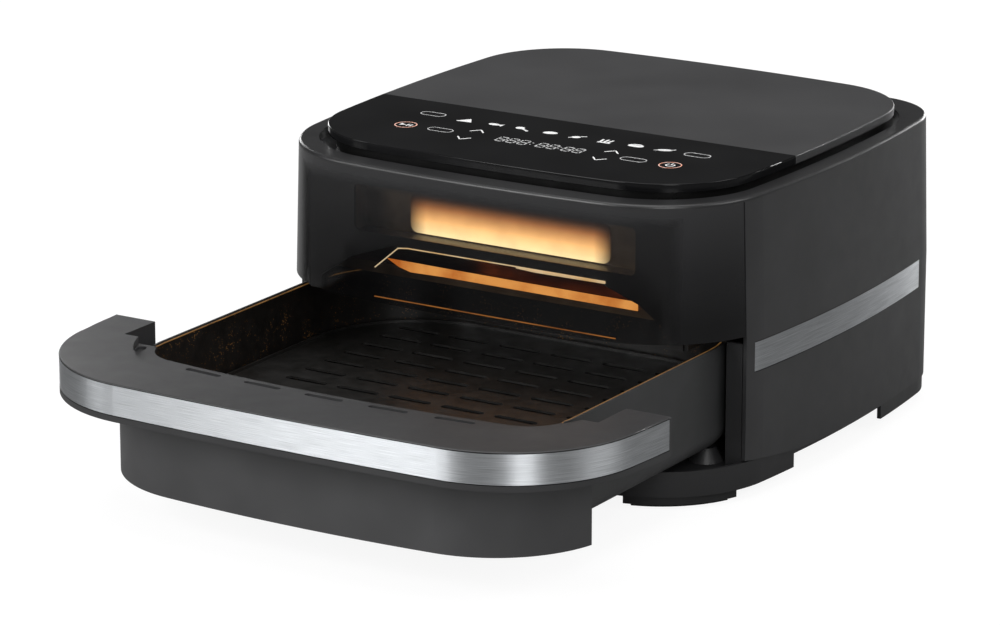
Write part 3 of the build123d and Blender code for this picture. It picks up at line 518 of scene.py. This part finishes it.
def panelMarks():
    low, high, line = panel["inkLow"], panel["inkHigh"], panel["line"]
    white, grey, orange = bmesh.new(), bmesh.new(), bmesh.new()
    for centre in panel["pills"]:
        outer = stadium(centre, panel["pillLength"], panel["pillHeight"])
        inner = stadium(centre, panel["pillLength"] - 2 * line, panel["pillHeight"] - 2 * line)
        addRing(grey, outer, inner, low, high)
    outerSize, innerSize = panel["buttonSize"], panel["buttonSize"] - 2 * line
    for centre in panel["buttons"]:
        outer = shifted(oval(outerSize, outerSize, 0, 40), centre)
        inner = shifted(oval(innerSize, innerSize, 0, 40), centre)
        addRing(orange, outer, inner, low, high)
    play, power = panel["buttons"]
    reach = symbol["playReach"]
    triangle = [(symbol["playBack"], -reach), (0, 0), (symbol["playBack"], reach)]
    addPrism(white, shifted(triangle, play), low, high)
    for x in symbol["pauseX"]:
        addPrism(white, shifted(bar(x, -reach, x, reach, symbol["pauseLine"]), play), low, high)
    radius = symbol["powerRadius"]
    turns = [math.radians(angle) for angle in symbol["powerAngles"]]
    arcOuter = [(radius * math.cos(turn), radius * math.sin(turn)) for turn in turns]
    arcInner = [(x * symbol["powerInner"], y * symbol["powerInner"]) for x, y in arcOuter]
    for i in range(len(arcOuter) - 1):
        quad = [arcOuter[i], arcOuter[i + 1], arcInner[i + 1], arcInner[i]]
        addPrism(white, shifted(quad, power), low, high)
    addPrism(white, shifted(bar(*symbol["powerBar"]), power), low, high)
    for number, sign in enumerate(foodSigns):
        centre = (panel["iconX"] + number * panel["iconPitch"], panel["iconY"])
        for points in sign:
            addPrism(white, shifted(points, centre), low, high)
    for centre in panel["upArrows"]:
        for points in chevron(centre, 1):
            addPrism(white, points, low, high)
    for centre in panel["downArrows"]:
        for points in chevron(centre, -1):
            addPrism(white, points, low, high)
    width, half = panel["digitWidth"], panel["digitHeight"] / 2
    for x in panel["digitsX"]:
        for x0, y0, x1, y1 in segments:
            start = Vector((x + x0 * width, panel["digitY"] - half + y0 * half))
            end = Vector((x + x1 * width, panel["digitY"] - half + y1 * half))
            gap = (end - start).normalized() * panel["digitGap"]
            start, end = start + gap, end - gap
            addPrism(grey, bar(start.x, start.y, end.x, end.y, panel["digitLine"]), low, high)
    dot = oval(panel["colonSize"], panel["colonSize"], 0, 10)
    for centre in panel["colons"]:
        addPrism(grey, shifted(dot, centre), low, high)
    whiteInk = screenInk("whiteScreenInk", "#C4C4C4", 0.3)
    greyInk = screenInk("greyScreenInk", "#7A7A7A", 0.16)
    orangeInk = screenInk("orangeScreenInk", "#C8641E", 0.45)
    finishPiece(bmeshObject("panelSigns", white), whiteInk, "housing")
    finishPiece(bmeshObject("panelOutlines", grey), greyInk, "housing")
    finishPiece(bmeshObject("panelRings", orange), orangeInk, "housing")


panelMarks()
print("panel marks placed")

# Lit pieces seen through the window: painted light, glowing strips and lines that stand in for metal
# edges lit by the heater
glow = {
    "stripY": -6.2,
    "stripThickness": 0.8,
    "stripTop": [(-108, 131.5), (-60, 131), (0, 130.6), (60, 130.4), (99, 130.4)],
    "stripBottom": [(-98, 126.5), (-88, 124), (-60, 124.6), (0, 124.4), (60, 124.2), (99, 124.2)],
}


def litStrip():
    outline = glow["stripTop"] + glow["stripBottom"][::-1]
    shape = bmesh.new()
    rows = []
    for y in (glow["stripY"], glow["stripY"] + glow["stripThickness"]):
        rows.append([shape.verts.new(metres(x, y, z)) for x, z in outline])
    shape.faces.new(rows[0])
    shape.faces.new(rows[1][::-1])
    bridge(shape, *rows)
    # painted light: the strip glows to stand in for the fan guard edge lit by the heater
    material = glowingMetal("litGuardEdge", "#FFB05A", "#C96A22", 1.5, 22)
    finishPiece(bmeshObject("litGuardEdge", shape), material, "housing")


litStrip()
trim = {
    "y": -37.6,
    "arch": [(-97.5, 134), (-78, 150.6), (-70, 151.6), (20, 151.8), (91.5, 151.8)],
    "archBright": [(20, 151.4), (35, 150.6), (91.5, 151)],
    "mouth": [(-98, 112.6), (0, 112.4), (100, 112.4)],
    "radius": 0.45,
    "brightRadius": 0.9,
}


def trimPath(name):
    return [(x, trim["y"], z) for x, z in trim[name]]


# painted highlights: the trim lines glow to stand in for edges catching the heater's light
paintedTrimHighlight = glowingMetal("litTrim", "#FFE9BE", "#E8B36A", 1.2, 30)
paintedWarmTrimHighlight = glowingMetal("paintedWarmTrimHighlight", "#D98A3C", "#8A4E1C", 0.8, 30)
tube("archTrim", trimPath("arch"), trim["radius"], paintedTrimHighlight, "housing")
tube("archTrimBright", trimPath("archBright"), trim["brightRadius"], paintedTrimHighlight, "housing")
tube("mouthTrim", trimPath("mouth"), trim["radius"], paintedWarmTrimHighlight, "housing")
print("lit pieces placed")

# Thin glowing line along the basin's inner top edge: a painted highlight where the rim catches the orange
# light from the chamber
basinLine = {
    "halfWidth": 163.1,
    "front": -232.2,
    "frontCorner": 31.2,
    "startY": -211,
    "startInset": 0.4,
    "rear": 68.2,
    "rearCorner": 87.2,
    "top": 109.1,
    "radius": 0.45,
}


def cornerPoints(side, radius, edgeY, direction, steps):
    x = basinLine["halfWidth"]
    points = []
    for i in range(steps + 1):
        turn = math.radians(90 * i / steps)
        across = side * (x - radius + radius * math.cos(turn))
        points.append((across, edgeY - direction * (radius - radius * math.sin(turn)), basinLine["top"]))
    return points


def rimPath(side):
    start = basinLine["startY"]
    first = cornerPoints(side, basinLine["frontCorner"], basinLine["front"], -1, 8)[::-1]
    points = [point for point in first if point[1] > start]
    points.insert(0, (side * (basinLine["halfWidth"] - basinLine["startInset"]), start, basinLine["top"]))
    return points + cornerPoints(side, basinLine["rearCorner"], basinLine["rear"], 1, 12)


rimHighlightGlow = glowingMetal("paintedRimHighlight", "#A87B45", "#5E4222", 0.35, 12)
for side, name in ((-1, "basinLineLeft"), (1, "basinLineRight")):
    tube(name, rimPath(side), basinLine["radius"], rimHighlightGlow, "drawer")
print("rim lines placed")

camera = {"azimuth": 32, "pitch": 16.3, "distance": 3.3, "target": (0, -0.027, 0.113), "lens": 170}


def lookFrom(azimuth, elevation):
    a, e = math.radians(azimuth), math.radians(elevation)
    return Vector((math.sin(a) * math.cos(e), -math.cos(a) * math.cos(e), math.sin(e)))


def aim(obj, target, direction, distance):
    obj.location = Vector(target) + direction * distance
    obj.rotation_mode = "QUATERNION"
    obj.rotation_quaternion = (-direction).to_track_quat("-Z", "Y")


def makeCamera():
    data = bpy.data.cameras.new("photoCamera")
    data.lens = camera["lens"]
    data.sensor_width = 36
    data.clip_end = 60
    obj = meshObject("photoCamera", data)
    aim(obj, camera["target"], lookFrom(camera["azimuth"], camera["pitch"]), camera["distance"])
    bpy.context.scene.camera = obj


lights = {
    "key": {"from": (-25, 24), "distance": 2.4, "size": (0.8, 1.5), "power": 30},
    "leftFill": {"from": (-55, 22), "distance": 2.6, "size": (0.7, 1.4), "power": 12},
    "frontRight": {"from": (40, 22), "distance": 2.6, "size": (0.7, 1.5), "power": 22},
    "right": {"from": (104, 34), "distance": 2.4, "size": (1.2, 1.0), "power": 16},
    "rearRight": {"from": (176, 8), "distance": 2.6, "size": (1.2, 0.5), "power": 26},
    "rearLeft": {"from": (-128, 10), "distance": 2.8, "size": (0.5, 0.8), "power": 10},
    "top": {"from": (0, 84), "distance": 2.2, "size": (1.8, 1.8), "power": 26},
}


def makeLights():
    for name, light in lights.items():
        data = bpy.data.lights.new(name, "AREA")
        data.shape = "RECTANGLE"
        data.size, data.size_y = light["size"]
        data.energy = light["power"]
        aim(meshObject(name, data), (0, 0, 0.1), lookFrom(*light["from"]), light["distance"])


studio = {
    "sky": (0.06, 0.3),
    "skyRise": (0.3, 0.75),
    "floorHalf": 12,
    "floorColor": "#8A8A8A",
    "floorGlow": 1.05,
    "floorShare": 0.86,
}


def pathMask(tree):
    return addNode(tree, "LightPath").outputs["Is Camera Ray"]


def makeWorld():
    world = bpy.data.worlds.new("studio")
    bpy.context.scene.world = world
    world.use_nodes = True
    tree = world.node_tree
    place = addNode(tree, "TexCoord")
    height = addNode(tree, "SeparateXYZ", {0: place.outputs["Generated"]}).outputs[2]
    sky = spread(tree, height, studio["skyRise"], studio["sky"])
    strength = spread(tree, pathMask(tree), target=(sky, 1.0))
    tree.links.new(strength, tree.nodes["Background"].inputs["Strength"])
    tree.nodes["Background"].inputs["Color"].default_value = (1, 1, 1, 1)


def makeFloor():
    shape = bmesh.new()
    bmesh.ops.create_grid(shape, x_segments=8, y_segments=8, size=studio["floorHalf"])
    obj = bmeshObject("paperFloor", shape)
    material, tree, shader = newMaterial("paperSweep", studio["floorColor"], 0.9)
    bump(tree, shader, noise(tree, 2, 2.0), 0.05, 0.2)
    shaded = linearColor(studio["floorColor"])
    tone = addNode(tree, "MixRGB", {0: pathMask(tree), 1: shaded, 2: (1, 1, 1, 1)})
    tree.links.new(tone.outputs[0], shader.inputs["Base Color"])
    white = addNode(tree, "Emission", {0: (1, 1, 1, 1), 1: studio["floorGlow"]})
    seen = calculate(tree, "MULTIPLY", pathMask(tree), studio["floorShare"])
    mixed = addNode(tree, "MixShader", {0: seen, 1: shader.outputs[0], 2: white.outputs[0]})
    tree.links.new(mixed.outputs[0], tree.nodes["Material Output"].inputs[0])
    obj.data.materials.append(material)


makeCamera()
makeLights()
makeWorld()
makeFloor()
bpy.context.scene.view_settings.view_transform = "Standard"
print("studio ready")
